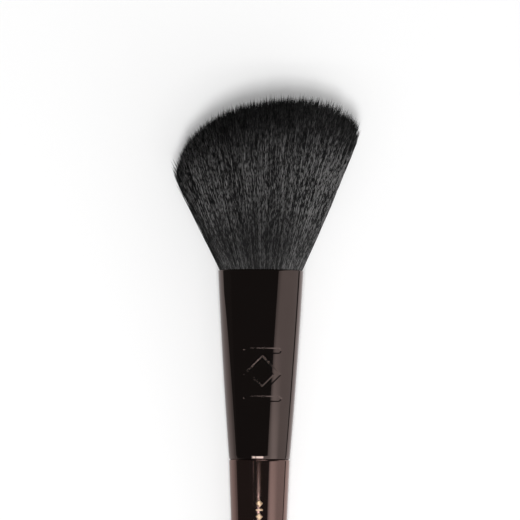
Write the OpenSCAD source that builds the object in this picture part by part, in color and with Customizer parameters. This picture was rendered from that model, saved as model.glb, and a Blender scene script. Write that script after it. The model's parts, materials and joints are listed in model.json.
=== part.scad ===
// Angled powder brush: a fanned head of fine bristles, bound and glued into a tapered
// metal ferrule, which is glued onto the tenon of a slim lacquered handle.
// The brush lies on its side on the plane Z = 0, as it comes to rest: the head points
// to +Y, the broad side of the head faces +Z, and its taller corner is at +X.

/* [Ferrule] */
// Length of the ferrule, from its lower rim to its mouth
ferrule_length = 45.8; // [38:0.2:56]
// Outer diameter of the ferrule at its mouth
mouth_d = 20.8; // [18:0.1:25]
// Outer diameter where the ferrule meets the handle
collar_d = 14.8; // [12:0.1:16.4]
// Thickness of the ferrule's metal
sheet = 0.35; // [0.3:0.05:0.6]
// How far the side of the ferrule bows out from a straight cone
ferrule_bow = 0.17; // [0:0.01:0.6]
// Radius that rounds the lower rim of the ferrule
rim_radius = 0.25; // [0.1:0.05:0.25]

/* [Pressed mark] */
// Depth of the mark pressed into the front of the ferrule
mark_depth = 0.12; // [0.06:0.02:0.2]
// Width of the mark, across the ferrule
mark_w = 9; // [6:0.5:10]
// Height of the mark, along the ferrule
mark_h = 12.8; // [10:0.2:16]
// Height of the mark's centre above the lower rim
mark_seat = 20.4; // [16:0.2:26]
// Width of the mark's strokes
mark_stroke = 1.2; // [0.6:0.1:1.6]
// Gap between the lozenge of the mark and each of its bars
mark_gap = 0.7; // [0.4:0.1:1.2]

/* [Handle] */
// Length of the handle, from the ferrule's lower rim to the butt
handle_length = 98; // [70:1:130]
// Diameter of the handle at the butt, before its edge is rounded
butt_d = 7.8; // [6.5:0.1:11]
// How far the side of the handle hollows in from a straight cone
handle_waist = 0.13; // [0:0.01:0.5]
// Radius that rounds the shoulder under the ferrule
shoulder_radius = 0.45; // [0.2:0.05:0.6]
// Radius that rounds the edge of the butt
butt_radius = 1.9; // [0.5:0.1:2.4]
// Empty space between the end of the tenon and the glue round the roots
tenon_space = 4.8; // [2:0.1:8]
// Room for glue between the tenon and the ferrule's lower end
tenon_room = 0.25; // [0.15:0.05:0.5]
// Chamfer round the end of the tenon
tenon_chamfer = 0.8; // [0.4:0.1:1.2]

/* [Bristles] */
// Length of the longest bristles, from the mouth of the ferrule
hair_length = 41.6; // [34:0.2:48]
// How far the outermost bristles lean out to each side, in degrees
fan_angle = 25.5; // [15:0.1:28]
// How far the whole head leans towards +X, in degrees
fan_lean = -1.2; // [-3:0.1:3]
// How far the outermost bristles lean out to front and back, in degrees
depth_angle = 14.5; // [8:0.5:18]
// How much shorter the crest becomes along the head's width
crest_drop = 10.4; // [6:0.2:14]
// Where the crest is highest, as a share of the half width towards +X
crest_peak = 0.24; // [0:0.02:0.4]
// How much shorter the front and back bristles are than the crest
dome_drop = 6; // [3:0.5:9]
// How much the outermost tips are rounded off
tip_round = 2.2; // [0.5:0.1:3]
// Number of strands that show round the head
strands = 72; // [48:1:84]
// Depth of the grooves between the strands
strand_relief = 0.35; // [0.15:0.05:0.5]
// How far the soft head flattens where it rests
rest_flat = 1; // [0.3:0.1:1.2]

/* [Roots] */
// How deep the roots reach below the mouth of the ferrule
root_depth = 15; // [12:0.5:16]
// Gap between the bristles and the bore where they leave the ferrule
hair_gap = 0.1; // [0.05:0.05:0.2]
// Diameter of the binding thread
thread_d = 0.6; // [0.4:0.05:0.8]
// Turns of the binding thread
thread_turns = 4; // [2:1:5]
// Distance of the first turn from the root ends
thread_seat = 2.5; // [1.5:0.1:3]
// Thickness of the glue between the thread and the ferrule, at the root ends
thread_cover = 0.4; // [0.2:0.1:0.8]
// Thickness of the glue below the root ends
glue_floor = 5; // [3:0.5:6]
// Height of the glue collar round the roots
glue_collar = 7; // [6:0.5:8]
// Distance of the glue from each end of the tenon
glue_inset = 1; // [0.5:0.1:2]
// Gap left between a glued piece and its seat
bond_gap = 0.02; // [0.01:0.01:0.04]

/* [Hidden] */
$fn = 96;

// Straight pieces that stand for one bowed side
side_steps = 20;
// Straight pieces that stand for one rounded edge
edge_steps = 8;
// Bend of a bristle back towards the axis, per millimetre along the head
hair_curl = 0.0014;
// Shift of the mark from the ferrule's middle line
mark_shift = 0.5;
// Rows of points along the roots, up the sides and over the tips
root_rows = 3;
side_rows = 8;
tip_rows = 6;
// Share of the tips' dome, from its rim, that the grooves run over
groove_reach = 0.6;
// Least share of the full depth that one groove has
groove_least = 0.5;
// How sharply the outermost tips round off
tip_power = 8;
// Start of the row of random groove depths
groove_seed = 11;

collar_r = collar_d / 2;
mouth_r = mouth_d / 2;
butt_r = butt_d / 2;
bore_r = collar_r - sheet;
tenon_r = bore_r - tenon_room;
root_end = ferrule_length - root_depth;
tenon_length = root_end - glue_floor - tenon_space;
mark_r = mark_stroke / 2;

// Distance from the axis to a side that runs from r0 to r1, bowed by bow at its middle
function bowed(r0, r1, bow, share) = r0 + (r1 - r0) * share + 4 * bow * share * (1 - share);

// Outside of the ferrule and of the handle at y along the brush, from the lower rim
function ferrule_r(y) = bowed(collar_r, mouth_r, ferrule_bow, y / ferrule_length);
function handle_r(y) = bowed(collar_r, butt_r, -handle_waist, -y / handle_length);

// Points along the outside of the ferrule, drawn in by inset
function ferrule_side(y0, y1, inset) =
    [for (i = [0:side_steps]) let (y = y0 + (y1 - y0) * i / side_steps) [ferrule_r(y) - inset, y]];

// Points of a rounded edge about a centre, from one angle to another
function edge(centre, r, from, to) =
    [for (i = [0:edge_steps]) let (a = from + (to - from) * i / edge_steps)
        centre + r * [cos(a), sin(a)]];

// Room round the roots: the bore just inside the mouth, and the bound end of the roots
mouth_bore_r = mouth_r - sheet - hair_gap;
bound_r = ferrule_r(root_end) - sheet - thread_cover - thread_d;
thread_low = root_end + thread_seat;
thread_high = thread_low + thread_turns * thread_d;

// Half width of the head along X and Z, h above the mouth, for a bristle at the rim
function fan_r(h, angle) = mouth_bore_r + tan(angle) * h - hair_curl * h * h;

// Height of the tips above the mouth for a bristle at (p, q) in the unit disc of the mouth
function tip_height(p, q) =
    hair_length - crest_drop * pow(p - crest_peak, 2) - dome_drop * q * q
    - tip_round * pow(norm([p, q]), tip_power);

// Point on a bristle that leaves the mouth at (p, q), h above it, in the brush's own frame:
// X across the head, Y along the brush from the lower rim, Z towards the front
function hair_point(p, q, h) =
    [p * fan_r(h, fan_angle) + tan(fan_lean) * h, ferrule_length + h, q * fan_r(h, depth_angle)];

// The brush tips until its butt and the back of its head touch the same plane
butt_centre = [-handle_length + butt_radius, handle_r(-handle_length + butt_radius) - butt_radius];
back_height = tip_height(0, 1);
function rest_angle(h) =
    let (reach = ferrule_length + h - butt_centre[0], rise = fan_r(h, depth_angle) - butt_centre[1])
    atan2(rise, reach) - asin((butt_radius + rest_flat) / norm([reach, rise]));
rest_tilt = max([for (i = [0:side_steps]) rest_angle(back_height * i / side_steps)]);
rest_height = butt_radius + butt_centre[1] * cos(rest_tilt) - butt_centre[0] * sin(rest_tilt);

// Share of its full depth that each groove between two strands has
groove_share = rands(groove_least, 1, strands, groove_seed);
ring_points = 2 * strands;
function groove(i) = i % 2 == 0 ? 0 : groove_share[(i - 1) / 2];

// A point of the head, held up by the plane that the brush rests on
function held_up(point) =
    [point[0], point[1], max(point[2], -(rest_height + point[1] * sin(rest_tilt)) / cos(rest_tilt))];

// One ring of the bound roots: it widens from the thread to the mouth
function root_ring(row) =
    let (share = row / root_rows, y = root_end + root_depth * (row == 0 ? 0 : (share + 1) / 2),
        r = row <= 1 ? bound_r : bound_r + (mouth_bore_r - bound_r) * (row - 1) / (root_rows - 1))
    [for (i = [0:ring_points - 1]) let (a = 360 * i / ring_points) [r * cos(a), y, r * sin(a)]];

// One ring up the sides of the head
function side_ring(row) =
    [for (i = [0:ring_points - 1])
        let (a = 360 * i / ring_points, share = row / side_rows, top = tip_height(cos(a), sin(a)),
            h = top * share, keep = 1 - groove(i) * strand_relief * share / fan_r(h, depth_angle))
        held_up(hair_point(keep * cos(a), keep * sin(a), h))];

// One ring over the tips, from the rim of the head towards its middle
function tip_ring(row) =
    [for (i = [0:ring_points - 1])
        let (a = 360 * i / ring_points, share = 1 - row / tip_rows, p = share * cos(a), q = share * sin(a),
            cut = groove(i) * strand_relief * max(0, 1 - (1 - share) / groove_reach))
        held_up(hair_point(p, q, tip_height(p, q) - cut))];

// Points of the head: its rings from the root ends to the tips, then the middle of the tips
head_points = concat(
    [for (row = [0:root_rows]) each root_ring(row)],
    [for (row = [1:side_rows]) each side_ring(row)],
    [for (row = [1:tip_rows - 1]) each tip_ring(row)],
    [hair_point(0, 0, tip_height(0, 0))]
);

// The origin is on the resting plane, below the middle of the whole brush
head_x = [for (point = head_points) point[0]];
head_y = [for (point = head_points) point[1] * cos(rest_tilt) - point[2] * sin(rest_tilt)];
butt_y = butt_centre[0] * cos(rest_tilt) - butt_centre[1] * sin(rest_tilt) - butt_radius;
middle_x = (min(head_x) + max(head_x)) / 2;
middle_y = (butt_y + max(head_y)) / 2;

// Lays a piece, built along Y from the lower rim of the ferrule, down to rest
module laid_down() {
    translate([-middle_x, -middle_y, rest_height]) rotate([rest_tilt, 0, 0]) children();
}

// Turns a profile of [radius, length along the brush] about the brush's axis
module turned(profile) {
    rotate([-90, 0, 0]) rotate_extrude() polygon(profile);
}

// A bar with round ends, lying across the brush
module round_bar(length) {
    square([length - mark_stroke, mark_stroke], center = true);
    for (side = [-1, 1]) translate([side * (length - mark_stroke) / 2, 0]) circle(mark_r);
}

// A lozenge of the given half width and half height
module lozenge(w, h) {
    polygon([[w, 0], [0, h], [-w, 0], [0, -h]]);
}

// The mark, seen from the front: a hollow lozenge with a bar above and below it
module mark_outline() {
    lozenge_w = mark_w / 2;
    lozenge_h = mark_h / 2 - mark_stroke - mark_gap;
    // Keeps the walls of the hollow lozenge one stroke thick
    inner = 1 - mark_stroke * norm([lozenge_w, lozenge_h]) / (lozenge_w * lozenge_h);
    difference() {
        lozenge(lozenge_w, lozenge_h);
        lozenge(lozenge_w * inner, lozenge_h * inner);
    }
    for (side = [-1, 1]) translate([0, side * (mark_h - mark_stroke) / 2]) round_bar(mark_w);
}

// Everything within mark_depth of the front of the ferrule that the mark covers
module mark_recess() {
    low = mark_seat - mark_h / 2 - mark_stroke;
    high = mark_seat + mark_h / 2 + mark_stroke;
    intersection() {
        turned(concat(ferrule_side(low, high, mark_depth), [[mouth_d, high], [mouth_d, low]]));
        translate([mark_shift, mark_seat, 0]) linear_extrude(mouth_d) mark_outline();
    }
}

// Tapered metal tube with a rounded lower rim and a softened mouth
module ferrule() {
    lip = sheet / 2;
    lip_y = ferrule_length - lip;
    color([0.24, 0.17, 0.16]) laid_down() difference() {
        turned(concat(
            edge([ferrule_r(rim_radius) - rim_radius, rim_radius], rim_radius, -90, 0),
            ferrule_side(2 * rim_radius, lip_y - lip, 0),
            edge([ferrule_r(lip_y) - lip, lip_y], lip, 0, 180),
            ferrule_side(lip_y - lip, 0, sheet)
        ));
        mark_recess();
    }
}

// Turned handle: a long taper with a rounded butt and a tenon that the ferrule covers
module handle() {
    color([0.33, 0.22, 0.2]) laid_down() turned(concat(
        [[0, -handle_length]],
        edge([butt_centre[1], butt_centre[0]], butt_radius, -90, 0),
        [for (i = [side_steps - 1:-1:1]) let (y = -handle_length * i / side_steps) [handle_r(y), y]],
        edge([handle_r(-shoulder_radius) - shoulder_radius, -shoulder_radius], shoulder_radius, 0, 90),
        [[tenon_r, 0], [tenon_r, tenon_length - tenon_chamfer],
            [tenon_r - tenon_chamfer, tenon_length], [0, tenon_length]]
    ));
}

// Glue that fills the widening space between the tenon and the ferrule
module tenon_glue() {
    low = glue_inset;
    high = tenon_length - glue_inset;
    color([0.72, 0.66, 0.5]) laid_down() turned(concat(
        [[tenon_r + bond_gap, low]],
        ferrule_side(low, high, sheet + bond_gap),
        [[tenon_r + bond_gap, high]]
    ));
}

// Block of glue that closes the ferrule below the roots and grips them and their thread
module root_glue() {
    low = root_end - glue_floor;
    high = root_end + glue_collar;
    root_r = bound_r + bond_gap;
    groove_r = bound_r + thread_d + 2 * bond_gap;
    color([0.78, 0.72, 0.56]) laid_down() turned(concat(
        [[0, low]],
        ferrule_side(low, high, sheet + bond_gap),
        [[root_r, high], [root_r, thread_high + bond_gap], [groove_r, thread_high + bond_gap],
            [groove_r, thread_low - bond_gap], [root_r, thread_low - bond_gap],
            [root_r, root_end - bond_gap], [0, root_end - bond_gap]]
    ));
}

// Thread wound round the roots, its turns drawn tight against each other
module binding_thread() {
    ring_r = bound_r + thread_d / 2 + bond_gap;
    web = thread_d / 2;
    color([0.86, 0.84, 0.78]) laid_down() rotate([-90, 0, 0]) rotate_extrude() union() {
        for (i = [0:thread_turns - 1])
            translate([ring_r, thread_low + thread_d * (i + 0.5)]) circle(thread_d / 2, $fn = 24);
        translate([ring_r - web / 2, thread_low + thread_d / 2])
            square([web, thread_d * (thread_turns - 1)]);
    }
}

// Bristles as one body: bound roots, grooved sides and domed, slanting tips
module bristles() {
    top = len(head_points) - 1;
    last = root_rows + side_rows + tip_rows - 1;
    sides = [for (row = [0:last - 1], i = [0:ring_points - 1], half = [0, 1])
        let (next = (i + 1) % ring_points, low = row * ring_points, high = low + ring_points)
        half == 0 ? [low + i, high + i, high + next] : [low + i, high + next, low + next]];
    root_face = [[for (i = [0:ring_points - 1]) i]];
    crown = [for (i = [0:ring_points - 1])
        [last * ring_points + i, top, last * ring_points + (i + 1) % ring_points]];
    color([0.09, 0.09, 0.09]) laid_down() polyhedron(
        head_points, concat(sides, root_face, crown), convexity = 4);
}

bristles();
binding_thread();
root_glue();
ferrule();
tenon_glue();
handle();
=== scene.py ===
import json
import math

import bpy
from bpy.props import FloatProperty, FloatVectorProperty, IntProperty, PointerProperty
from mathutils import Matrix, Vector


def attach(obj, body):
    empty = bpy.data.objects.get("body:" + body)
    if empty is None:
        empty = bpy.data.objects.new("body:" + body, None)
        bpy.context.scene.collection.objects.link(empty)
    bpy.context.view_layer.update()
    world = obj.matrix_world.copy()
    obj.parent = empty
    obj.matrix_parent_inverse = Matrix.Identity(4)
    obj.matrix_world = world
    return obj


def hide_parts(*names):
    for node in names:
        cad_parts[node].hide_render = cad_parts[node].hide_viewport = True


bl_info = {
    "name": "Powder brush",
    "version": (1, 0, 0),
    "blender": (4, 5, 0),
    "location": "3D View > Sidebar > Powder brush",
    "description": "Dresses an angled powder brush: fibres, plated ferrule, lacquered handle and gold foil",
    "category": "Add Mesh",
}

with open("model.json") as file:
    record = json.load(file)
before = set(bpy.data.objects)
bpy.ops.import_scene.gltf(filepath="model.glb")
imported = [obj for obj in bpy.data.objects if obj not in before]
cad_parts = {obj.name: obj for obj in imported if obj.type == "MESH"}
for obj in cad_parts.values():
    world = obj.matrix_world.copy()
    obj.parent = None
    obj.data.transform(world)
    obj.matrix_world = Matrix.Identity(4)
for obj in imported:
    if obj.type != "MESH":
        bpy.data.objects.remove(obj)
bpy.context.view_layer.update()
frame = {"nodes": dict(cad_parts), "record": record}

HANDLE_END = next(mount for mount in frame["record"]["mounts"] if mount["name"] == "handle_end")


def length(label, about, value):
    """A property that holds a length in metres."""
    return FloatProperty(name=label, description=about, default=value, precision=5, unit="LENGTH")


def angle(label, about, degrees):
    """A property that holds an angle, given here in degrees."""
    return FloatProperty(name=label, description=about, default=math.radians(degrees), unit="ROTATION")


def factor(label, about, value):
    """A property that holds a share or a plain number."""
    return FloatProperty(name=label, description=about, default=value, precision=4)


def colour(label, about, value):
    """A property that holds a colour."""
    return FloatVectorProperty(name=label, description=about, default=value, subtype="COLOR", min=0, max=1)


class FerruleSizes(bpy.types.PropertyGroup):
    """Tapered metal tube between the bristles and the handle"""
    length: length("Length", "From the lower rim to the mouth", 0.0458)
    mouth_radius: length("Mouth radius", "Outer radius at the mouth", 0.0104)
    collar_radius: length("Collar radius", "Outer radius at the lower rim", 0.0074)
    bow: length("Bow", "How far the side bows out from a straight cone", 0.00017)
    sheet: length("Sheet", "Thickness of the metal", 0.00035)
    rim_radius: length("Rim radius", "Rounding of the lower rim", 0.0002)
    rim_height: length("Rim height", "Height of the lower rim that leans in", 0.00075)
    rim_lean: angle("Rim lean", "How far the lower rim leans in", 5.6)
    columns: IntProperty(name="Columns", description="Columns of faces round the plain part", default=72)


class MarkSizes(bpy.types.PropertyGroup):
    """Mark pressed into the front of the ferrule: a hollow lozenge between two bars"""
    width: length("Width", "Across the ferrule", 0.009)
    height: length("Height", "Along the ferrule", 0.0128)
    seat: length("Seat", "Height of its centre above the lower rim", 0.0204)
    stroke: length("Stroke", "Width of its strokes", 0.0012)
    gap: length("Gap", "Between the lozenge and each bar", 0.0007)
    depth: length("Depth", "How deep it is pressed", 0.0001)
    shift: length("Shift", "Distance from the ferrule's middle line", 0.0005)
    slope: length("Slope", "Width of the sloping edge of each stroke", 0.00022)
    cell: length("Cell", "Size of the faces that carry it", 0.00005)


class HandleSizes(bpy.types.PropertyGroup):
    """Slim turned handle with a tenon inside the ferrule"""
    length: length("Length", "From the ferrule's lower rim to the butt", 0.098)
    butt_radius: length("Butt radius", "Radius at the butt, before its edge is rounded", 0.0039)
    waist: length("Waist", "How far the side hollows in from a straight cone", 0.00013)
    shoulder_round: length("Shoulder rounding", "Radius under the ferrule", 0.00045)
    butt_round: length("Butt rounding", "Radius round the butt", 0.0019)
    tenon_radius: length("Tenon radius", "Radius of the tenon", 0.0068)
    tenon_length: length("Tenon length", "How far the tenon reaches into the ferrule", 0.021)
    tenon_chamfer: length("Tenon chamfer", "Chamfer round the end of the tenon", 0.0008)
    columns: IntProperty(name="Columns", description="Columns of faces round it", default=160)


class BristleSizes(bpy.types.PropertyGroup):
    """Fanned head of fine fibres"""
    length: length("Length", "Longest fibres, from the mouth", 0.0421)
    bore: length("Bore", "Radius of the bundle at the mouth", 0.00995)
    fan: angle("Fan", "Lean of the outermost fibres to each side", 25.5)
    lean: angle("Lean", "Lean of the whole head towards +X", -1.2)
    depth: angle("Depth", "Lean of the outermost fibres to front and back", 14.5)
    curl: factor("Curl", "Bend back towards the axis, per metre along the head", 1.4)
    crest_drop: length("Crest drop", "How much shorter the crest becomes along the width", 0.011)
    crest_peak: factor("Crest peak", "Where the crest is highest, as a share of the half width", 0.25)
    dome_drop: length("Dome drop", "How much shorter the front and back fibres are", 0.006)
    tip_round: length("Tip rounding", "How much the outermost tips are rounded off", 0.0022)
    root: length("Root", "How far the fibres start below the mouth", 0.003)
    locks: IntProperty(name="Locks", description="Meshes that the head is split into", default=8)
    fibres: IntProperty(name="Fibres", description="Fibres in each mesh", default=4480)
    rings: IntProperty(name="Rings", description="Rings of points along a fibre", default=8)
    thickness: length("Thickness", "Radius of one fibre at its root", 0.000075)
    crowding: factor("Crowding", "Power that crowds the fibres towards the outside, below 0.5", 0.4)
    uneven: length("Uneven", "How much shorter than the longest the shortest fibres are", 0.009)
    clumps: factor("Clumps", "How many clumps lie across half the mouth", 42)
    clumping: factor("Clumping", "How far the tips draw together in clumps", 0.85)
    spike: length("Spike", "How much lower a clump's outer fibres end", 0.0022)
    ragged: length("Ragged", "How much the clumps differ in height", 0.0016)
    wander: length("Wander", "How far a tip strays sideways", 0.0004)
    loose: length("Loose", "How far a few fibres stand out on the short side", 0.0045)
    wave: length("Wave", "How far a fibre waves along its length", 0.0002)


class FoilSizes(bpy.types.PropertyGroup):
    """Gold foil ornament stamped down the front of the handle"""
    start: length("Start", "Distance of its upper end below the ferrule", 0.0096)
    pitch: length("Pitch", "Distance from one lozenge to the next", 0.0032)
    count: IntProperty(name="Count", description="Number of lozenges", default=7)
    width: length("Width", "Across the handle", 0.0018)
    height: length("Height", "Height of a lozenge", 0.0021)
    bar: length("Bar", "Height of a bar between two lozenges", 0.0004)
    thickness: length("Thickness", "Height of the foil above the lacquer", 0.00002)
    shift: length("Shift", "Distance from the handle's middle line", 0.0)


class Finishes(bpy.types.PropertyGroup):
    """Colours of the brush"""
    fibre_dark: colour("Dark fibre", "Darkest dyed fibres", (0.003, 0.0029, 0.0033))
    # The lightest fibre colour is partly the fibres' own light tone and partly painted glints and painted
    # light, which the tone zones push towards it
    fibre_light: colour("Light fibre", "Lightest dyed fibres", (0.172, 0.168, 0.167))
    plating: colour("Plating", "Dark bronze plating of the ferrule", (0.13, 0.098, 0.09))
    lacquer: colour("Lacquer", "Metallic brown lacquer of the handle", (0.235, 0.15, 0.133))
    foil: colour("Foil", "Gold foil", (0.9, 0.63, 0.42))
    thread: colour("Thread", "Waxed thread round the roots", (0.72, 0.69, 0.62))
    glue: colour("Glue", "Hardened glue", (0.55, 0.46, 0.3))


class StudioSizes(bpy.types.PropertyGroup):
    """Floor, lamps and camera"""
    field: length("Field", "Width that the camera sees at the brush", 0.1263)
    distance: length("Distance", "From the camera to the brush", 1.5)
    elevation: angle("Elevation", "Camera above the floor", 84)
    roll: angle("Roll", "Turn of the camera about its view", 0.43)
    aim_across: length("Aim across", "Point looked at, from the brush's axis", -0.00024)
    aim_along: length("Aim along", "Point looked at, beyond the ferrule's mouth", 0.0026)
    floor_colour: colour("Floor colour", "Pale floor", (0.86, 0.86, 0.86))
    floor_lift: factor("Floor lift", "Light that the camera alone sees on the floor", 0.128)


class PowderBrush(bpy.types.PropertyGroup):
    """All sizes and colours of the powder brush"""
    ferrule: PointerProperty(type=FerruleSizes)
    mark: PointerProperty(type=MarkSizes)
    handle: PointerProperty(type=HandleSizes)
    bristles: PointerProperty(type=BristleSizes)
    foil: PointerProperty(type=FoilSizes)
    finishes: PointerProperty(type=Finishes)
    studio: PointerProperty(type=StudioSizes)


class Term:
    """A value in a node tree. Sums and products of terms become Math nodes."""

    def __init__(self, graph, socket):
        self.graph = graph
        self.socket = socket

    def __add__(self, other):
        return self.graph.math("ADD", self, other)

    def __sub__(self, other):
        return self.graph.math("SUBTRACT", self, other)

    def __rsub__(self, other):
        return self.graph.math("SUBTRACT", other, self)

    def __mul__(self, other):
        return self.graph.math("MULTIPLY", self, other)

    def __truediv__(self, other):
        return self.graph.math("DIVIDE", self, other)

    def __pow__(self, other):
        return self.graph.math("POWER", self, other)

    __radd__ = __add__
    __rmul__ = __mul__


class Graph:
    """Writes the nodes of a Geometry Nodes tree or of a material."""

    def __init__(self, tree):
        self.tree = tree

    def add(self, kind, inputs=None, **settings):
        """Adds a node, with values or terms for its inputs by identifier."""
        node = self.tree.nodes.new(kind)
        for name, value in settings.items():
            setattr(node, name, value)
        sockets = {socket.identifier: socket for socket in node.inputs}
        for name, value in (inputs or {}).items():
            if isinstance(value, Term):
                self.tree.links.new(value.socket, sockets[name])
            else:
                sockets[name].default_value = value
        return node

    def get(self, kind, inputs=None, output=0, **settings):
        """Adds a node and returns one of its outputs."""
        return Term(self, self.add(kind, inputs, **settings).outputs[output])

    def math(self, operation, *values):
        """Adds a Math node."""
        names = ("Value", "Value_001", "Value_002")
        return self.get("ShaderNodeMath", dict(zip(names, values)), operation=operation)

    def at_most(self, value, limit):
        """The smaller of two values."""
        return self.math("MINIMUM", value, limit)

    def at_least(self, value, limit):
        """The larger of two values."""
        return self.math("MAXIMUM", value, limit)

    def vector(self, x=0.0, y=0.0, z=0.0):
        """A vector from its three parts."""
        return self.get("ShaderNodeCombineXYZ", {"X": x, "Y": y, "Z": z})

    def parts(self, vector):
        """The three parts of a vector."""
        node = self.add("ShaderNodeSeparateXYZ", {"Vector": vector})
        return [Term(self, output) for output in node.outputs]

    def scaled(self, vector, amount):
        """A vector made longer or shorter."""
        return self.get("ShaderNodeVectorMath", {"Vector": vector, "Scale": amount}, operation="SCALE")

    def summed(self, *vectors):
        """The sum of several vectors."""
        total = vectors[0]
        for vector in vectors[1:]:
            total = self.get("ShaderNodeVectorMath", {"Vector": total, "Vector_001": vector})
        return total

    def between(self, value, low, high, start=0.0, end=1.0):
        """Runs smoothly from start to end while a value goes from low to high."""
        inputs = {"Value": value, "From Min": low, "From Max": high, "To Min": start, "To Max": end}
        return self.get("ShaderNodeMapRange", inputs, interpolation_type="SMOOTHSTEP")

    def mixed(self, share, one, other):
        """One colour going over into another."""
        inputs = {"Factor_Float": share, "A_Color": one, "B_Color": other}
        return self.get("ShaderNodeMix", inputs, output=2, data_type="RGBA")

    def noise(self, vector, scale, detail=2.0):
        """Smooth random values between 0 and 1."""
        return self.get("ShaderNodeTexNoise", {"Vector": vector, "Scale": scale, "Detail": detail})


def opaque(rgb):
    """A colour with full alpha."""
    return (*rgb, 1.0)


SOCKET_KINDS = {int: "NodeSocketInt", float: "NodeSocketFloat", Vector: "NodeSocketVector",
                bpy.types.Material: "NodeSocketMaterial"}


def geometry_tree(name, values, grow):
    """A Geometry Nodes tree that has an input for each value and ends in plain faces."""
    tree = bpy.data.node_groups.new(name, "GeometryNodeTree")
    tree.interface.new_socket("Geometry", in_out="OUTPUT", socket_type="NodeSocketGeometry")
    for label, value in values.items():
        tree.interface.new_socket(label, in_out="INPUT", socket_type=SOCKET_KINDS[type(value)])
    graph = Graph(tree)
    source = tree.nodes.new("NodeGroupInput")
    given = {label: Term(graph, source.outputs[label]) for label in values}
    smooth = graph.get("GeometryNodeSetShadeSmooth", {"Geometry": grow(graph, given)})
    plain = graph.get("GeometryNodeRealizeInstances", {"Geometry": smooth})
    painted = graph.get("GeometryNodeSetMaterial", {"Geometry": plain, "Material": given["material"]})
    tree.links.new(painted.socket, tree.nodes.new("NodeGroupOutput").inputs[0])
    return tree


def new_object(name, data):
    """Adds an object to the scene."""
    added = bpy.data.objects.new(name, data)
    bpy.context.scene.collection.objects.link(added)
    return added


def made_by_tree(name, tree, values):
    """The plain mesh object that a Geometry Nodes tree makes from these values."""
    piece = new_object(name, bpy.data.meshes.new(name))
    modifier = piece.modifiers.new("Nodes", "NODES")
    modifier.node_group = tree
    for item in tree.interface.items_tree:
        if item.in_out == "INPUT":
            modifier[item.identifier] = values[item.name]
    graph = bpy.context.evaluated_depsgraph_get()
    mesh = bpy.data.meshes.new_from_object(piece.evaluated_get(graph), depsgraph=graph)
    piece.modifiers.remove(modifier)
    piece.data = mesh
    return piece


def all_sizes(group):
    """The values of a group of properties, by name."""
    return {name: getattr(group, name) for name in type(group).__annotations__}


def brush_axes(sizes):
    """The middle of the ferrule's lower rim, and the directions across, along and to the front."""
    along = -Vector(HANDLE_END["axis"]).normalized()
    across = Vector((1.0, 0.0, 0.0))
    rim = Vector(HANDLE_END["pos_m"]) + along * sizes.handle.length
    return rim, across, along, across.cross(along)


def axes_at(sizes, height=0.0):
    """Values for a tree: a point on the brush's axis and the three directions."""
    rim, across, along, front = brush_axes(sizes)
    return {"origin": rim + along * height, "across": across, "along": along, "front": front}


def laid_down(graph, given, x, y, z):
    """Takes a point of the upright brush, whose axis is Y, to its place on the floor."""
    return graph.summed(given["origin"], graph.scaled(given["across"], x),
                        graph.scaled(given["along"], y), graph.scaled(given["front"], z))


def placement(origin, *axes):
    """Turns something to three axes and moves it to a point."""
    return Matrix.Translation(origin) @ Matrix(axes).transposed().to_4x4()


def bowed(start, end, bow, share):
    """A side that runs from one radius to another, bowed at its middle."""
    return start + (end - start) * share + 4 * bow * share * (1 - share)


def ferrule_radius(ferrule, y):
    """Outside of the ferrule at a height above its lower rim."""
    return bowed(ferrule.collar_radius, ferrule.mouth_radius, ferrule.bow, y / ferrule.length)


def handle_radius(sizes, y):
    """Outside of the handle at a height, which is negative, from the ferrule's lower rim."""
    return bowed(sizes.ferrule.collar_radius, sizes.handle.butt_radius, -sizes.handle.waist,
                 -y / sizes.handle.length)


def steps(start, end, count):
    """Evenly spaced values from start to end, with both of them."""
    return [start + (end - start) * i / count for i in range(count + 1)]


def arc(radius, y, size, start, end, count=8):
    """Points of a rounded edge, as (radius, y), between two angles in degrees."""
    return [(radius + size * math.cos(math.radians(a)), y + size * math.sin(math.radians(a)))
            for a in steps(start, end, count)]


def turned_mesh(name, profile, angles, dent=None):
    """A mesh turned about Y from a profile of (radius, y). A radius of 0 at its ends makes a pole."""
    verts = []
    rings = []
    for radius, y in profile:
        if radius == 0:
            verts.append((0.0, y, 0.0))
            rings.append([len(verts) - 1] * len(angles))
            continue
        rings.append(list(range(len(verts), len(verts) + len(angles))))
        for a in angles:
            r = radius - dent(radius, y, a) if dent else radius
            verts.append((r * math.sin(a), y, r * math.cos(a)))
    if profile[0][0] > 0:
        rings.append(rings[0])
    faces = []
    for low, high in zip(rings, rings[1:]):
        for i in range(len(angles)):
            j = (i + 1) % len(angles)
            corners = [low[i], low[j], high[j], high[i]]
            faces.append([c for k, c in enumerate(corners) if c != corners[k - 1]])
    mesh = bpy.data.meshes.new(name)
    mesh.from_pydata(verts, [], faces)
    mesh.validate()
    return mesh


# Edges of the ferrule and of the handle that turn by more than this stay sharp
FERRULE_CREASE = math.radians(70)
HANDLE_CREASE = math.radians(35)


def new_piece(mesh, sizes, material, crease):
    """Lays a mesh down with the brush and makes it a smooth piece with sharp creases."""
    mesh.transform(placement(*brush_axes(sizes)))
    mesh.shade_smooth()
    mesh.set_sharp_from_angle(angle=crease)
    mesh.materials.append(material)
    return new_object(mesh.name, mesh)


def hand_over(piece, node):
    """Gives a piece the place of a node of the frame."""
    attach(piece, "root")
    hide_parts(node)


def new_material(name):
    """An empty material. Returns it and its graph."""
    material = bpy.data.materials.new(name)
    material.use_nodes = True
    material.node_tree.nodes.clear()
    return material, Graph(material.node_tree)


def end_in(graph, shader, kind="ShaderNodeOutputMaterial"):
    """Joins the last shader of a material or a world to its output."""
    graph.tree.links.new(shader.socket, graph.add(kind).inputs["Surface"])


def use_shader(graph, inputs):
    """Ends a material in its main shader."""
    end_in(graph, graph.get("ShaderNodeBsdfPrincipled", inputs))


def place(graph):
    """Where a point is on the piece, in metres."""
    return graph.get("ShaderNodeTexCoord", output=3)


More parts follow.
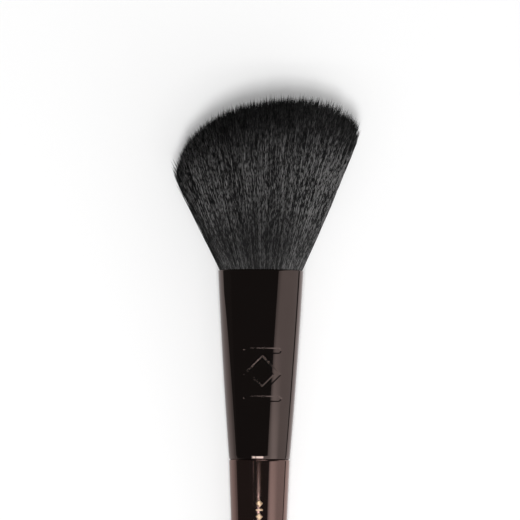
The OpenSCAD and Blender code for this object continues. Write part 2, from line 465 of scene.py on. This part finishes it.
def shades(graph, value, rgb, dark, light=1.0):
    """One colour in shades from dark to light."""
    return graph.mixed(value, opaque([c * dark for c in rgb]), opaque([c * light for c in rgb]))


def bumps(graph, height, strength, distance):
    """The direction of a surface that has small bumps."""
    return graph.get("ShaderNodeBump", {"Strength": strength, "Distance": distance, "Height": height})


# Patches and streaks of tone, partly the fibres' own random tone and partly painted glints and painted shade
# between fibres: how many lie across half the head, in its depth, and along a metre
MOTTLE = (160, 60, 950)
STREAKS = (28, 10, 80)
# How much the patches, the streaks and a fibre's own chance count in its tone, and the sums at
# which a fibre is darkest and lightest
MOTTLE_PART = 0.67
STREAK_PART = 0.17
CHANCE_PART = 0.16
DARK_AND_LIGHT = (0.46, 0.68)
# The tone that the others are drawn towards near the mouth, and how much of their difference is
# kept from one height to another
MIDDLE_TONE = 0.3
CONTRAST = (0.0, 0.02, 0.7, 1.0)
# Zones of painted light and shade in the tone, each from one place to another: heights above the mouth and
# shares of the half width, with the factor at the start and at the end. By height: painted shade over the
# lower part, with less of it right at the mouth, then a painted sheen higher up, a little dimmer towards the
# tips. Across: painted shade along the short side's edge, lighter towards the short side, and a painted
# sheen towards the longer side
RISE_PAINTED_SHADING = ((0.0, 0.005, 0.88, 0.6), (0.007, 0.02, 1.0, 1.75), (0.024, 0.034, 1.0, 0.92))
SIDE_PAINTED_SHADING = ((-0.96, -0.85, 0.35, 1.0), (-0.95, -0.1, 1.5, 1.0), (0.15, 0.8, 0.94, 1.3))
# The tips: where along a fibre their painted shade begins, and how much of it the short side has
TIP_PAINTED_SHADE = (0.78, 1.0, 0.0, -0.58)
SHORT_TIPS = (-0.95, -0.3, 0.0, 1.0)
# The edge of the longer side: where its painted light begins, the height at which this painted light goes
# over into painted shade, and how strong both are
LONG_EDGE_PAINTED_LIGHT = (0.4, 1.0, 0.0, 0.75)
EDGE_PAINTED_SHADE = (0.02, 0.034, 1.0, -0.6)


def fibre_material(finishes):
    """Fine black dyed fibres: each has its own tone, which changes along it. Painted glints are mixed into
    the tone, and zones paint light and shade into it by height, across the width, on the tips and along the
    longer side's edge.
    """
    material, graph = new_material("dyed_fibre")
    chance, spread = (graph.get("ShaderNodeAttribute", output=1, attribute_name=name)
                      for name in ("chance", "spread"))
    rise, share = (graph.get("ShaderNodeAttribute", output=2, attribute_name=name)
                   for name in ("rise", "share"))
    _, _, three = graph.parts(chance)
    p, q, _ = graph.parts(spread)
    patch, streak = (graph.noise(graph.vector(p * across, q * deep, rise * along), scale=1.0, detail=1.0)
                     for across, deep, along in (MOTTLE, STREAKS))
    mix = patch * MOTTLE_PART + streak * STREAK_PART + three * CHANCE_PART
    tone = graph.between(mix, *DARK_AND_LIGHT)
    tone = (tone - MIDDLE_TONE) * graph.between(rise, *CONTRAST) + MIDDLE_TONE
    # Painted light and shade by height and across the width
    for value, zones in ((rise, RISE_PAINTED_SHADING), (p, SIDE_PAINTED_SHADING)):
        for zone in zones:
            tone = tone * graph.between(value, *zone)
    # Painted shade on the tips, fading out towards the short side
    tone = tone * (graph.between(share, *TIP_PAINTED_SHADE) * graph.between(p, *SHORT_TIPS) + 1.0)
    # Painted light low on the longer side's edge, going over into painted shade higher up
    tone = tone * (graph.between(p, *LONG_EDGE_PAINTED_LIGHT) * graph.between(rise, *EDGE_PAINTED_SHADE) + 1.0)
    use_shader(graph, {
        "Base Color": graph.mixed(tone, opaque(finishes.fibre_dark), opaque(finishes.fibre_light)),
        "Roughness": graph.between(tone, 0.0, 1.0, start=0.7, end=0.42),
        "Specular IOR Level": 0.25,
    })
    return material


# Drawing lines of the ferrule: how many lie across a metre, and along one
LINES_ACROSS = 9000
LINES_ALONG = 90


def plating_material(finishes):
    """Mirror-bright dark plating with faint drawing lines and finger haze."""
    material, graph = new_material("dark_plating")
    point = place(graph)
    haze = graph.noise(point, scale=160.0, detail=3.0)
    across, along, front = graph.parts(point)
    stretched = graph.vector(across * LINES_ACROSS, along * LINES_ALONG, front * LINES_ACROSS)
    lines = graph.noise(stretched, scale=1.0)
    use_shader(graph, {
        "Base Color": shades(graph, haze, finishes.plating, dark=0.94, light=1.06),
        "Metallic": 1.0,
        "Roughness": graph.between(haze, 0.3, 0.75, start=0.025, end=0.045),
        "Specular Tint": (0.8, 0.78, 0.78, 1.0),
        "Normal": bumps(graph, lines, strength=0.02, distance=0.00002),
    })
    return material


def lacquer_material(finishes):
    """Glossy lacquer over fine metal flakes, with a faint ripple."""
    material, graph = new_material("brown_lacquer")
    point = place(graph)
    flakes = graph.noise(point, scale=5200.0, detail=1.0)
    ripple = graph.noise(point, scale=420.0, detail=1.0)
    use_shader(graph, {
        "Base Color": shades(graph, flakes, finishes.lacquer, dark=0.86, light=1.14),
        "Metallic": 1.0,
        "Roughness": graph.between(flakes, 0.3, 0.7, start=0.03, end=0.05),
        "Specular Tint": (0.8, 0.77, 0.76, 1.0),
        "Normal": bumps(graph, ripple, strength=0.05, distance=0.00002),
    })
    return material


def foil_material(finishes):
    """Hot-stamped gold foil, slightly uneven."""
    material, graph = new_material("gold_foil")
    grain = graph.noise(place(graph), scale=3000.0)
    use_shader(graph, {
        "Base Color": shades(graph, grain, finishes.foil, dark=0.9),
        "Metallic": 1.0,
        "Roughness": graph.between(grain, 0.2, 0.8, start=0.28, end=0.42),
        "Normal": bumps(graph, grain, strength=0.3, distance=0.00001),
    })
    return material


def thread_material(finishes):
    """Waxed thread with a fine twist."""
    material, graph = new_material("waxed_thread")
    twist = graph.noise(place(graph), scale=2600.0)
    use_shader(graph, {
        "Base Color": shades(graph, twist, finishes.thread, dark=0.7),
        "Roughness": 0.6,
        "Normal": bumps(graph, twist, strength=0.6, distance=0.00005),
    })
    return material


def glue_material(finishes):
    """Hardened amber glue with cloudy patches."""
    material, graph = new_material("hard_glue")
    cloud = graph.noise(place(graph), scale=500.0, detail=3.0)
    use_shader(graph, {
        "Base Color": shades(graph, cloud, finishes.glue, dark=0.75),
        "Roughness": graph.between(cloud, 0.3, 0.7, start=0.2, end=0.35),
        "Coat Weight": 0.4,
    })
    return material


class Step:
    """What the steps have in common. Each builds its part of the brush."""

    def execute(self, context):
        self.build(context.scene.powder_brush)
        return {"FINISHED"}


class BRUSH_OT_bristles(Step, bpy.types.Operator):
    """Grow the fanned head of fine fibres"""
    bl_idname = "powder_brush.bristles"
    bl_label = "Bristles"

    def build(self, sizes):
        values = all_sizes(sizes.bristles)
        for name in ("fan", "depth", "lean"):
            values[name] = math.tan(values[name])
        locks = values.pop("locks")
        values.update(axes_at(sizes, sizes.ferrule.length), seed=0, material=fibre_material(sizes.finishes))
        tree = geometry_tree("Fanned fibres", values, grown_fibres)
        for lock in range(locks):
            values["seed"] = lock
            piece = made_by_tree(f"bristles_{lock + 1}", tree, values)
            hand_over(piece, "bristles")


def kept(graph, geometry, name, kind, value):
    """Keeps a value on each point, under a name."""
    return graph.get("GeometryNodeStoreNamedAttribute",
                     {"Geometry": geometry, "Name": name, "Value": value}, data_type=kind)


def recalled(graph, name, kind):
    """A value that was kept on each point."""
    return graph.get("GeometryNodeInputNamedAttribute", {"Name": name}, data_type=kind)


# Streams of random numbers kept for each seed
STREAMS = 10


def drawn(graph, seed, stream):
    """A random number from 0 to 1 for each point."""
    return graph.get("FunctionNodeRandomValue", {"Seed": seed * STREAMS + stream}, output=1)


def rooted_points(graph, given):
    """A point for each fibre, with its place in the unit disc of the mouth and its random numbers."""
    points = graph.get("GeometryNodePoints", {"Count": given["fibres"]})
    reach = drawn(graph, given["seed"], 1) ** given["crowding"]
    turn = drawn(graph, given["seed"], 2) * math.tau
    spread = graph.vector(reach * graph.math("COSINE", turn), reach * graph.math("SINE", turn))
    chance = graph.vector(*(drawn(graph, given["seed"], stream) for stream in (3, 4, 5)))
    points = kept(graph, points, "spread", "FLOAT_VECTOR", spread)
    return kept(graph, points, "chance", "FLOAT_VECTOR", chance)


# Power with which the outermost tips are rounded off, and with which few fibres stay short
ROUND_POWER = 8
SHORT_POWER = 3


def tip_height(graph, given, p, q):
    """Height of the tips above the mouth, for a fibre at (p, q) in the unit disc."""
    edge = graph.math("SQRT", p * p + q * q)
    offset = p - given["crest_peak"]
    crest = given["length"] - given["crest_drop"] * offset * offset
    return crest - given["dome_drop"] * q * q - given["tip_round"] * edge ** ROUND_POWER


# How the rings crowd towards the tip, how late a fibre tapers, and how much of it is left there
TIP_CROWDING = 1.6
TIP_TAPER = 30
TIP_LEFT = 0.06
# How much the bundle narrows for each length below the mouth
NARROWING = 0.1
# Fibres with a random number below the first keep in line. The others stand out the more, the
# nearer they are to the short side, between two shares of the half width
STEADY = 0.76
SHORT_SIDE = (0.8, 0.96)
# How much more the clumps differ in height towards the longer side, and the random number of a
# clump that this leaves as it is
RAGGED_SIDE = (0.2, 0.8, 0.0, 1.3)
MIDDLE_CLUMP = 0.7
# Turns of a fibre's wave, in radians for each metre: the fewest, and how many more there may be
FEWEST_TURNS = 380
MORE_TURNS = 200
# How far the wave to the front may be ahead of the one to the side, in radians
AHEAD = 3


def clumped(graph, given, p, q, share):
    """Draws tips to the middle of their clump. Returns their place, old distance and clump's chance."""
    clump = graph.add("ShaderNodeTexVoronoi", {"Vector": graph.vector(p, q), "Scale": given["clumps"]},
                      voronoi_dimensions="2D")
    off_middle, dice, middle = (Term(graph, output) for output in clump.outputs[:3])
    clump_p, clump_q, _ = graph.parts(middle)
    clump_chance, _, _ = graph.parts(dice)
    pull = given["clumping"] * share * share * share
    return p + (clump_p - p) * pull, q + (clump_q - q) * pull, off_middle, clump_chance


def grown_fibres(graph, given):
    """Closed three-sided tubes that follow the fan and taper to a point."""
    line = graph.get("GeometryNodeCurvePrimitiveLine", {"Start": (0, 0, 0), "End": (0, 0, 1)})
    line = graph.get("GeometryNodeResampleCurve", {"Curve": line, "Count": given["rings"]})
    points = rooted_points(graph, given)
    curves = graph.get("GeometryNodeInstanceOnPoints", {"Points": points, "Instance": line})
    curves = graph.get("GeometryNodeRealizeInstances", {"Geometry": curves})
    step = graph.get("GeometryNodeSplineParameter")
    mouth = graph.math("DIVIDE", 1.0, given["rings"] - 1.0)
    below = 1.0 - graph.at_most(step / mouth, 1.0)
    share = 1.0 - (1.0 - graph.at_least((step - mouth) / (1.0 - mouth), 0.0)) ** TIP_CROWDING
    p, q, _ = graph.parts(recalled(graph, "spread", "FLOAT_VECTOR"))
    one, two, three = graph.parts(recalled(graph, "chance", "FLOAT_VECTOR"))
    p_bent, q_bent, off_middle, clump_chance = clumped(graph, given, p, q, share)

    # Height along the fibre, and half the width and depth of the fan there
    tall = (tip_height(graph, given, p, q) - given["uneven"] * one ** SHORT_POWER
            - given["spike"] * off_middle + given["ragged"] * clump_chance
            + given["ragged"] * (clump_chance - MIDDLE_CLUMP) * graph.between(p, *RAGGED_SIDE))
    height = tall * share - given["root"] * below
    rise = graph.at_least(height, 0.0)
    sunk = graph.at_most(height, 0.0) * NARROWING
    bend = given["curl"] * rise * rise
    half_width = given["bore"] + given["fan"] * rise - bend + sunk
    half_depth = given["bore"] + given["depth"] * rise - bend + sunk

    # Each fibre strays a little and waves along its length
    free = rise / given["length"]
    stray = free * free * given["wander"]
    loose = graph.between(two, STEADY, 1.0) * graph.between(p * -1.0, *SHORT_SIDE)
    wave = free * given["wave"]
    phase = rise * (FEWEST_TURNS + one * MORE_TURNS) + three * math.tau
    x = (p_bent * half_width + given["lean"] * rise + (two - 0.5) * 2 * stray
         + wave * graph.math("SINE", phase) - loose * free * free * given["loose"])
    z = (q_bent * half_depth + (three - 0.5) * 2 * stray
         + wave * graph.math("COSINE", phase + two * AHEAD))
    east, north, up = graph.parts(laid_down(graph, given, x, height, z))
    point = graph.vector(east, north, graph.at_least(up, given["thickness"]))

    curves = kept(graph, curves, "share", "FLOAT", share)
    curves = kept(graph, curves, "rise", "FLOAT", rise)
    curves = graph.get("GeometryNodeSetPosition", {"Geometry": curves, "Position": point})
    ring = graph.get("GeometryNodeCurvePrimitiveCircle", {"Resolution": 3, "Radius": 1.0})
    slim = given["thickness"] * (1 + TIP_LEFT - recalled(graph, "share", "FLOAT") ** TIP_TAPER)
    tubes = {"Curve": curves, "Profile Curve": ring, "Scale": slim, "Fill Caps": True}
    return graph.get("GeometryNodeCurveToMesh", tubes)


class BRUSH_OT_ferrule(Step, bpy.types.Operator):
    """Turn the tapered ferrule and press its mark"""
    bl_idname = "powder_brush.ferrule"
    bl_label = "Ferrule"

    def build(self, sizes):
        mesh = turned_mesh("ferrule_shell", ferrule_profile(sizes), ferrule_angles(sizes),
                           dent=lambda radius, y, a: pressed(sizes, radius, y, a))
        piece = new_piece(mesh, sizes, plating_material(sizes.finishes), FERRULE_CREASE)
        hand_over(piece, "ferrule")


# Height of the row of faces beside a rounded edge, which keeps the edge's shading short
EDGE_ROW = 0.0001
# Rows of faces of the leaning rim, below the mark, above it, round the mouth and inside
LEAN_ROWS = 6
BELOW_ROWS = 16
ABOVE_ROWS = 20
MOUTH_ROWS = 12
INSIDE_ROWS = 6


def ferrule_profile(sizes):
    """Outline of the ferrule's wall: rounded lower rim, outside, rounded mouth and inside."""
    ferrule = sizes.ferrule
    mark = sizes.mark
    lip = ferrule.sheet / 2
    lip_y = ferrule.length - lip
    rim = ferrule.rim_radius
    rim_y = ferrule.rim_height
    low = mark.seat - mark.height / 2 - mark.slope
    high = mark.seat + mark.height / 2 + mark.slope
    heights = ([rim_y]
               + steps(rim_y + EDGE_ROW, low, BELOW_ROWS)
               + steps(low, high, round((high - low) / mark.cell))[1:]
               + steps(high, lip_y - lip, ABOVE_ROWS)[1:])
    leaning = [(ferrule_radius(ferrule, y) - (rim_y - y) * math.tan(ferrule.rim_lean), y)
               for y in steps(rim, rim_y, LEAN_ROWS)]
    return (arc(leaning[0][0] - rim, rim, rim, -90, 0)
            + leaning[1:-1]
            + [(ferrule_radius(ferrule, y), y) for y in heights]
            + arc(ferrule_radius(ferrule, lip_y) - lip, lip_y, lip, 0, 180, MOUTH_ROWS)
            + [(ferrule_radius(ferrule, y) - ferrule.sheet, y) for y in steps(lip_y - lip, 0, INSIDE_ROWS)])


def ferrule_angles(sizes):
    """Angles of the columns: fine ones across the mark, wide ones round the rest."""
    mark = sizes.mark
    radius = ferrule_radius(sizes.ferrule, mark.seat)
    reach = mark.width / 2 + mark.slope
    left = math.asin((mark.shift - reach) / radius)
    right = math.asin((mark.shift + reach) / radius)
    fine = steps(left, right, round((right - left) * radius / mark.cell))
    return fine + steps(right, left + math.tau, sizes.ferrule.columns)[1:-1]


def pressed(sizes, radius, y, a):
    """How deep the mark is pressed at one point of the ferrule."""
    mark = sizes.mark
    if math.cos(a) < 0 or radius < ferrule_radius(sizes.ferrule, y) - sizes.ferrule.sheet / 2:
        return 0.0
    across = abs(radius * math.sin(a) - mark.shift)
    along = abs(y - mark.seat)
    half_w = mark.width / 2
    half_h = mark.height / 2 - mark.stroke - mark.gap
    edge = (across / half_w + along / half_h - 1) / math.hypot(1 / half_w, 1 / half_h)
    lozenge = abs(edge + mark.stroke / 2) - mark.stroke / 2
    past_end = max(across - (mark.width - mark.stroke) / 2, 0)
    bar = math.hypot(past_end, along - (mark.height - mark.stroke) / 2) - mark.stroke / 2
    inside = min(max(0.5 - min(lozenge, bar) / mark.slope, 0), 1)
    return mark.depth * inside * inside * (3 - 2 * inside)


class BRUSH_OT_handle(Step, bpy.types.Operator):
    """Turn the lacquered handle with its tenon"""
    bl_idname = "powder_brush.handle"
    bl_label = "Handle"

    def build(self, sizes):
        angles = steps(0, math.tau, sizes.handle.columns)[:-1]
        mesh = turned_mesh("handle_turned", handle_profile(sizes), angles)
        piece = new_piece(mesh, sizes, lacquer_material(sizes.finishes), HANDLE_CREASE)
        hand_over(piece, "handle")


# Rows of faces round the butt and along the side
BUTT_ROWS = 14
SIDE_ROWS = 150


def handle_profile(sizes):
    """Outline of the handle, from the middle of the butt to the middle of the tenon's end."""
    handle = sizes.handle
    butt = handle.butt_round
    butt_y = -handle.length + butt
    shoulder = handle.shoulder_round
    side = steps(butt_y + EDGE_ROW, -shoulder - EDGE_ROW, SIDE_ROWS)
    tenon = handle.tenon_radius
    tenon_y = handle.tenon_length
    chamfer = handle.tenon_chamfer
    return ([(0, -handle.length)]
            + arc(handle_radius(sizes, butt_y) - butt, butt_y, butt, -90, 0, BUTT_ROWS)
            + [(handle_radius(sizes, y), y) for y in side]
            + arc(handle_radius(sizes, -shoulder) - shoulder, -shoulder, shoulder, 0, 90)
            + [(tenon, 0), (tenon, tenon_y - chamfer), (tenon - chamfer, tenon_y), (0, tenon_y)])


class BRUSH_OT_foil(Step, bpy.types.Operator):
    """Stamp the gold foil ornament down the handle"""
    bl_idname = "powder_brush.foil"
    bl_label = "Gold foil"

    def build(self, sizes):
        handle = sizes.handle
        values = all_sizes(sizes.foil)
        values.update(axes_at(sizes), collar_radius=sizes.ferrule.collar_radius, waist=handle.waist,
                      butt_radius=handle.butt_radius, handle_length=handle.length,
                      material=foil_material(sizes.finishes))
        tree = geometry_tree("Stamped foil", values, stamped_foil)
        piece = made_by_tree("gold_foil", tree, values)
        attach(piece, "root")


# Points along each side of a foil shape, and how near two points are to be one
SIDE_POINTS = 6
SAME_POINT = 0.000002


def foil_shape(graph, width, height, turn):
    """A flat shape of a few faces, which is turned and then stretched to its width and height."""
    grid = graph.get("GeometryNodeMeshGrid", {
        "Size X": 1.0, "Size Y": 1.0, "Vertices X": SIDE_POINTS, "Vertices Y": SIDE_POINTS})
    turned = graph.get("GeometryNodeTransform", {"Geometry": grid, "Rotation": (0, 0, turn)})
    size = graph.vector(width, height, 1.0)
    return graph.get("GeometryNodeTransform", {"Geometry": turned, "Scale": size})


def foil_row(graph, shape, count, start, pitch):
    """A row of one shape down the handle."""
    row = graph.get("GeometryNodeMeshLine", {
        "Count": count, "Start Location": graph.vector(y=start), "Offset": graph.vector(y=pitch)})
    placed = graph.get("GeometryNodeInstanceOnPoints", {"Points": row, "Instance": shape})
    return graph.get("GeometryNodeRealizeInstances", {"Geometry": placed})


def joined(graph, *parts):
    """Several geometries as one."""
    join = graph.add("GeometryNodeJoinGeometry")
    for part in parts:
        graph.tree.links.new(part.socket, join.inputs[0])
    return Term(graph, join.outputs[0])


def stamped_foil(graph, given):
    """Lozenges with a bar between each two, wrapped onto the handle as closed thin plates."""
    half_root = math.sqrt(0.5)
    lozenge = foil_shape(graph, given["width"] * half_root, given["height"] * half_root, math.pi / 4)
    bar = foil_shape(graph, given["width"], given["bar"], 0.0)
    step = given["pitch"] * -1.0
    first = given["start"] * -1.0 - given["height"] / 2
    flat = joined(graph, foil_row(graph, lozenge, given["count"], first, step),
                  foil_row(graph, bar, given["count"] - 1, first + step / 2, step))
    raised = graph.get("GeometryNodeExtrudeMesh", {
        "Mesh": flat, "Offset": (0.0, 0.0, 1.0), "Offset Scale": given["thickness"], "Individual": False})
    closed = joined(graph, raised, graph.get("GeometryNodeFlipFaces", {"Mesh": flat}))
    plates = graph.get("GeometryNodeMergeByDistance", {"Geometry": closed, "Distance": SAME_POINT})

    x, y, lift = graph.parts(graph.get("GeometryNodeInputPosition"))
    share = y / given["handle_length"] * -1.0
    taper = (given["butt_radius"] - given["collar_radius"]) * share
    radius = given["collar_radius"] + taper - given["waist"] * 4.0 * share * (1 - share)
    x = x + given["shift"]
    height = graph.math("SQRT", radius * radius - x * x) + lift
    point = laid_down(graph, given, x, y, height)
    return graph.get("GeometryNodeSetPosition", {"Geometry": plates, "Position": point})


class BRUSH_OT_inside(Step, bpy.types.Operator):
    """Finish the thread and the glue inside the ferrule"""
    bl_idname = "powder_brush.inside"
    bl_label = "Thread and glue"

    def build(self, sizes):
        thread = thread_material(sizes.finishes)
        glue = glue_material(sizes.finishes)
        materials = {"binding_thread": thread, "root_glue": glue, "tenon_glue": glue}
        for name, material in materials.items():
            for slot in frame["nodes"][name].material_slots:
                slot.material = material


class BRUSH_OT_studio(Step, bpy.types.Operator):
    """Set the floor, the lamps and the camera"""
    bl_idname = "powder_brush.studio"
    bl_label = "Studio"

    def build(self, sizes):
        scene = bpy.context.scene
        set_floor(sizes.studio)
        set_wall()
        set_world(scene)
        set_lamps(sizes)
        set_camera(scene, sizes)
        scene.view_settings.view_transform = "Standard"


def flat_sheet(name, corners, material):
    """A sheet of one face in the scene."""
    mesh = bpy.data.meshes.new(name)
    mesh.from_pydata(corners, [], [(0, 1, 2, 3)])
    mesh.materials.append(material)
    sheet = new_object(name, mesh)
    return sheet


# Half a side of the floor
FLOOR_HALF = 3.0
# What glossy surfaces see of the floor: a bright sheet under the brush, dark to the left of its
# slanting edge, which comes no nearer than a straight one, and the grey wall's glow to the right
# of a thin dark gap
BRIGHT_LEFT = -0.103
BRIGHT_SLANT = 1.43
BRIGHT_NEAR = -0.038
BRIGHT_RIGHT = 0.0275
GAP_WIDTH = 0.007
EDGE_BLUR = 0.002
BRIGHT_GLOW = 0.78
# How the sheet's glow changes across: dimmer away from the brush, brighter close to its right
SHEET_FADES = ((-0.065, -0.012, 0.45, 1.0), (-0.005, 0.01, 1.0, 1.5), (0.01, 0.0275, 1.0, 0.78))
# Glow of the grey wall, and what glossy surfaces see at least
WALL_GLOW = 0.6
DARK_GLOW = 0.062
# Light from the pale room all round, and how it changes towards +X and +Y
ROOM_GLOW = 0.39
ROOM_EAST = 0.35
ROOM_NORTH = -0.5
# Where the floor begins and ends to go over into the white distance, and how much it is lifted
FAR_FLOOR = (0.2, 1.0, 0.0, 0.7)


def ray_kinds(graph):
    """1 for rays from the camera, also through clear things, and 1 for rays from glossy ones."""
    rays = graph.add("ShaderNodeLightPath")
    camera, clear, glossy = (Term(graph, rays.outputs[f"Is {kind} Ray"])
                             for kind in ("Camera", "Transmission", "Glossy"))
    return graph.at_most(camera + clear, 1.0), glossy


def set_floor(studio):
    """Pale floor, which the camera sees a little brighter than it is lit."""
    material, graph = new_material("studio_floor")
    x, y, _ = graph.parts(place(graph))
    inside = graph.at_least(x - y * BRIGHT_SLANT - BRIGHT_LEFT, x - BRIGHT_NEAR)
    bright = (graph.between(inside, -EDGE_BLUR, EDGE_BLUR)
              * graph.between(x, BRIGHT_RIGHT, BRIGHT_RIGHT + EDGE_BLUR, BRIGHT_GLOW, 0.0))
    for fade in SHEET_FADES:
        bright = bright * graph.between(x, *fade)
    gap_end = BRIGHT_RIGHT + GAP_WIDTH
    beyond = graph.between(x, gap_end, gap_end + EDGE_BLUR, 0.0, WALL_GLOW)
    mirrored = graph.at_least(bright + beyond, DARK_GLOW)
    diffuse = graph.get("ShaderNodeBsdfDiffuse", {"Color": opaque(studio.floor_colour)})
    seen, glossy = ray_kinds(graph)
    far = graph.between(graph.math("SQRT", x * x + y * y), *FAR_FLOOR)
    lifted = graph.get("ShaderNodeEmission", {"Strength": seen * (far + studio.floor_lift)})
    lit = graph.get("ShaderNodeAddShader", {"Shader": diffuse, "Shader_001": lifted})
    mirror = graph.get("ShaderNodeEmission", {"Strength": mirrored})
    shader = graph.get("ShaderNodeMixShader", {"Fac": glossy, "Shader": lit, "Shader_001": mirror})
    end_in(graph, shader)
    h = FLOOR_HALF
    flat_sheet("floor", [(-h, -h, 0), (h, -h, 0), (h, h, 0), (-h, h, 0)], material)


# Grey wall to the right, whose slanting upper edge shows in the ferrule: its corners as (y, z), and
# how it fades towards that edge
WALL_X = 0.3
WALL_CORNERS = ((0.154, 0.0), (-0.45, 1.15), (-1.1, 1.15), (-1.1, 0.0))
WALL_FADE = (0.0, 0.08, 0.6, 1.0)
# Soft window on the wall: its glow, where it ends along Y, and its lower and upper edge
WINDOW_GLOW = 0.5
WINDOW_END = (-0.07, 0.0, 1.0, 0.0)
WINDOW_SILL = (0.06, 0.18)
WINDOW_TOP = (0.22, 0.42, 1.0, 0.2)


def set_wall():
    """Glowing wall beside the brush, out of the camera's view."""
    material, graph = new_material("studio_wall")
    _, y, z = graph.parts(place(graph))
    window = (graph.between(y, *WINDOW_END) * graph.between(z, *WINDOW_SILL)
              * graph.between(z, *WINDOW_TOP))
    (near_y, near_z), (far_y, far_z) = WALL_CORNERS[:2]
    under_edge = (y - near_y) * ((far_z - near_z) / (far_y - near_y)) + near_z - z
    fade = graph.between(under_edge, *WALL_FADE)
    glow = graph.get("ShaderNodeEmission", {"Strength": (window * WINDOW_GLOW + WALL_GLOW) * fade})
    end_in(graph, glow)
    wall = flat_sheet("wall", [(WALL_X, y, z) for y, z in WALL_CORNERS], material)
    wall.visible_camera = False
    wall.visible_shadow = False


def set_world(scene):
    """White behind the floor for the camera, and a dim studio for everything else."""
    world = bpy.data.worlds.new("studio")
    world.use_nodes = True
    world.node_tree.nodes.clear()
    graph = Graph(world.node_tree)
    seen, glossy = ray_kinds(graph)
    east, north, _ = graph.parts(graph.get("ShaderNodeTexCoord"))
    room = graph.at_least(east * ROOM_EAST + north * ROOM_NORTH + 1.0, 0.0) * ROOM_GLOW
    strength = seen + glossy * DARK_GLOW + (1.0 - seen) * (1.0 - glossy) * room
    back = graph.get("ShaderNodeBackground", {"Strength": strength})
    end_in(graph, back, "ShaderNodeOutputWorld")
    scene.world = world


# Lamps: name, degrees from straight up towards the handle, degrees towards +X, distance, width,
# height, the light that falls on the floor, where pi shows a white floor as white, and whether
# glossy surfaces mirror the lamp
LAMPS = (
    ("soft", 15.5, 0.0, 1.4, 0.15, 0.27, 1.76, False),
    ("sheen", 26.0, 4.4, 1.3, 0.75, 0.12, 0.3, True),
    ("left", 26.0, -24.4, 1.3, 0.35, 0.06, 0.06, True),
    ("front", 0.5, 0.0, 1.4, 0.15, 0.15, 0.15, False),
)
# Oval lamps that light the lacquered handle alone: a glint down its front, a fainter one beside
# it, and a line round the shoulder
GLINTS = (
    ("glint", 12.35, -2.4, 4.0, 1.6, 0.4, 0.2, True),
    ("faint glint", 9.1, -23.0, 4.0, 0.12, 0.02, 0.0005, True),
    ("shoulder glint", -60.0, 12.0, 2.0, 1.2, 0.3, 0.16, True),
)


def set_lamps(sizes):
    """Soft lamps on the handle's side, so that the ferrule's front stays dark."""
    rim, _, along, _ = brush_axes(sizes)
    middle = rim + along * sizes.ferrule.length
    for values in LAMPS:
        new_lamp(middle, "RECTANGLE", *values)
    lacquered = bpy.data.collections.new("lacquered")
    for name in ("handle_turned", "gold_foil"):
        lacquered.objects.link(bpy.data.objects[name])
    for values in GLINTS:
        glint = new_lamp(middle, "ELLIPSE", *values)
        glint.light_linking.receiver_collection = lacquered


def new_lamp(middle, shape, name, back, right, distance, width, height, level, mirrored):
    """An area lamp that faces a point from a direction, with its width in line with X."""
    out = Vector((math.tan(math.radians(right)), -math.tan(math.radians(back)), 1.0)).normalized()
    across = (Vector((1.0, 0.0, 0.0)) - out * out.x).normalized()
    lamp = bpy.data.lights.new(name, "AREA")
    lamp.shape = shape
    lamp.size = width
    lamp.size_y = height
    lamp.energy = level * math.pi * distance ** 2 / out.z
    holder = new_object(name, lamp)
    holder.matrix_world = placement(middle + out * distance, across, out.cross(across), out)
    holder.visible_glossy = mirrored
    return holder


def set_camera(scene, sizes):
    """Long lens that looks down on the front of the brush."""
    studio = sizes.studio
    rim, across, along, _ = brush_axes(sizes)
    target = rim + along * (sizes.ferrule.length + studio.aim_along) + across * studio.aim_across
    view = Vector((0.0, -math.cos(studio.elevation), math.sin(studio.elevation)))
    data = bpy.data.cameras.new("camera")
    data.sensor_width = 36.0
    data.lens = data.sensor_width * studio.distance / studio.field
    data.clip_end = 20.0
    camera = new_object("camera", data)
    turn = view.to_track_quat("Z", "Y").to_matrix().to_4x4()
    camera.matrix_world = (Matrix.Translation(target + view * studio.distance) @ turn
                           @ Matrix.Rotation(studio.roll, 4, "Z"))
    scene.camera = camera


OPERATORS = (BRUSH_OT_bristles, BRUSH_OT_ferrule, BRUSH_OT_handle, BRUSH_OT_foil, BRUSH_OT_inside,
             BRUSH_OT_studio)


class BRUSH_PT_panel(bpy.types.Panel):
    """Lists the steps that build the brush"""
    bl_idname = "BRUSH_PT_panel"
    bl_label = "Powder brush"
    bl_space_type = "VIEW_3D"
    bl_region_type = "UI"
    bl_category = "Powder brush"

    def draw(self, context):
        for operator in OPERATORS:
            self.layout.operator(operator.bl_idname)


CLASSES = (FerruleSizes, MarkSizes, HandleSizes, BristleSizes, FoilSizes, Finishes, StudioSizes, PowderBrush,
           *OPERATORS, BRUSH_PT_panel)


def register():
    """Registers the classes and the settings."""
    for cls in CLASSES:
        bpy.utils.register_class(cls)
    bpy.types.Scene.powder_brush = PointerProperty(type=PowderBrush)


def unregister():
    """Removes the settings and the classes."""
    del bpy.types.Scene.powder_brush
    for cls in reversed(CLASSES):
        bpy.utils.unregister_class(cls)


def main():
    """Builds the whole brush and its studio."""
    register()
    for step in ("bristles", "ferrule", "handle", "foil", "inside", "studio"):
        getattr(bpy.ops.powder_brush, step)()


if __name__ == "__main__":
    main()
